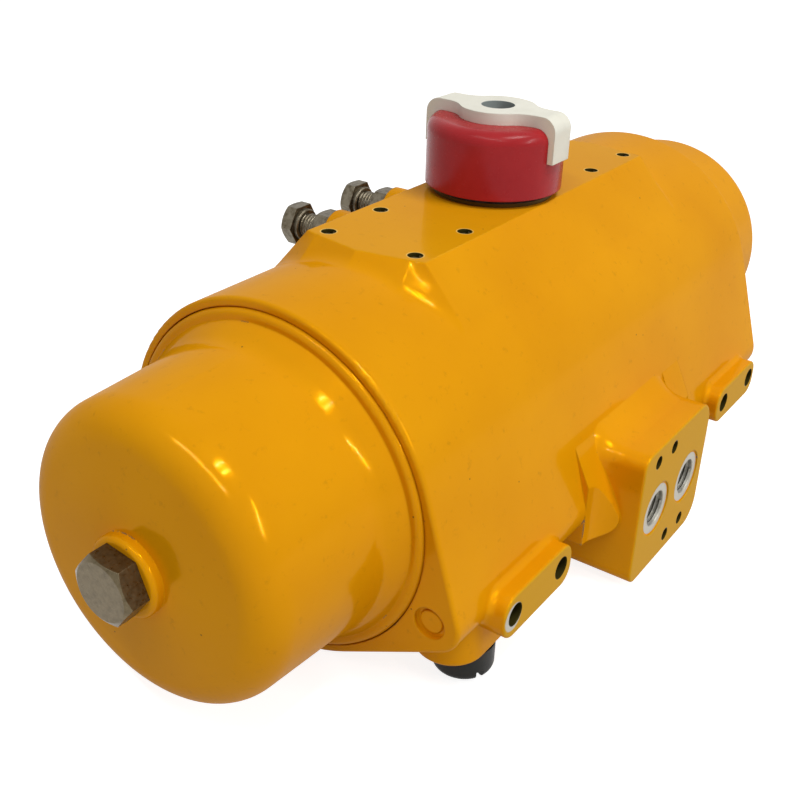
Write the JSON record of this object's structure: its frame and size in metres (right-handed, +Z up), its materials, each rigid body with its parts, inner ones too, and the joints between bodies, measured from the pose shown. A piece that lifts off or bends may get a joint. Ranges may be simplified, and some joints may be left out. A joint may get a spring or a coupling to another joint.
{
  "type": "pneumatic valve actuator",
  "caption": "Spring-return rack-and-pinion pneumatic actuator with quarter-turn output, position indicator, deep spring caps, port block and travel stops.",
  "frame": {"origin": "on the pinion axis, in the plane of the valve mounting face under the body", "axes": "+Z up along the pinion, away from the valve; X along the cylinder, front cap at -X; air ports face -Y and travel stops stand out at +Y"},
  "size_m": [0.3384, 0.1442, 0.1388],
  "materials": {
    "body_paint": "glossy cast body paint",
    "cap_paint": "glossy paint",
    "cup_red": "glossy",
    "pointer_white": "satin",
    "black_plastic": "satin",
    "slide_plastic": "satin",
    "seal_rubber": "matt",
    "stainless": "satin",
    "zinc_steel": "satin",
    "plated_steel": "satin",
    "spring_steel": "coated",
    "plain_aluminium": "cast and turned"
  },
  "bodies": {
    "root": {"end_cap_front": "cap_paint", "end_cap_rear": "cap_paint", "cap_seal_front": "seal_rubber", "cap_seal_rear": "seal_rubber", "cap_key_front": "spring_steel", "cap_key_rear": "spring_steel", "key_plug_front": "black_plastic", "key_plug_rear": "black_plastic", "cap_bolt_front": "stainless", "cap_bolt_rear": "stainless", "bolt_seal_front": "seal_rubber", "bolt_seal_rear": "seal_rubber", "cartridge_nut_front": "zinc_steel", "cartridge_nut_rear": "zinc_steel", "spring_outer_front": "spring_steel", "spring_outer_rear": "spring_steel", "spring_inner_front": "spring_steel", "spring_inner_rear": "spring_steel", "housing": "body_paint", "channel_plugs": "body_paint", "lower_bush": "slide_plastic", "upper_bush": "slide_plastic", "top_washer": "black_plastic", "stop_nut_front": "stainless", "stop_nut_rear": "stainless"},
    "pinion_set": {"pinion": "plated_steel", "stop_cam": "zinc_steel", "lower_seal": "seal_rubber", "upper_seal": "seal_rubber", "circlip": "zinc_steel", "indicator_cup": "cup_red", "indicator_pointer": "pointer_white", "indicator_screw": "stainless"},
    "piston_set_front": {"piston_front": "plain_aluminium", "piston_seal_front": "seal_rubber", "piston_band_front": "slide_plastic", "rack_guide_front": "slide_plastic", "spring_plate_front": "plain_aluminium"},
    "piston_set_rear": {"piston_rear": "plain_aluminium", "piston_seal_rear": "seal_rubber", "piston_band_rear": "slide_plastic", "rack_guide_rear": "slide_plastic", "spring_plate_rear": "plain_aluminium"},
    "travel_stop_front": {"stop_bolt_front": "stainless"},
    "travel_stop_rear": {"stop_bolt_rear": "stainless"}
  },
  "joints": [
    {"name": "pinion_turn", "type": "hinge", "parent": "root", "child": "pinion_set", "pos_m": [0, 0, 0], "axis": [0, 0, 1], "range_deg": [0, 90], "stiffness_Nm_per_rad": 2},
    {"name": "piston_slide_front", "type": "slide", "parent": "root", "child": "piston_set_front", "axis": [-1, 0, 0], "range_m": [0, 0.0252], "deforming": ["spring_outer_front", "spring_inner_front"]},
    {"name": "piston_slide_rear", "type": "slide", "parent": "root", "child": "piston_set_rear", "axis": [1, 0, 0], "range_m": [0, 0.0252], "deforming": ["spring_outer_rear", "spring_inner_rear"]},
    {"name": "stop_adjust_front", "type": "slide", "parent": "root", "child": "travel_stop_front", "axis": [0, 1, 0], "range_m": [0, 0.003]},
    {"name": "stop_adjust_rear", "type": "slide", "parent": "root", "child": "travel_stop_rear", "axis": [0, 1, 0], "range_m": [0, 0.003]}
  ],
  "couplings": [
    {"joint": "piston_slide_front", "follows": "pinion_turn", "m_per_rad": 0.016},
    {"joint": "piston_slide_rear", "follows": "pinion_turn", "m_per_rad": 0.016}
  ]
}
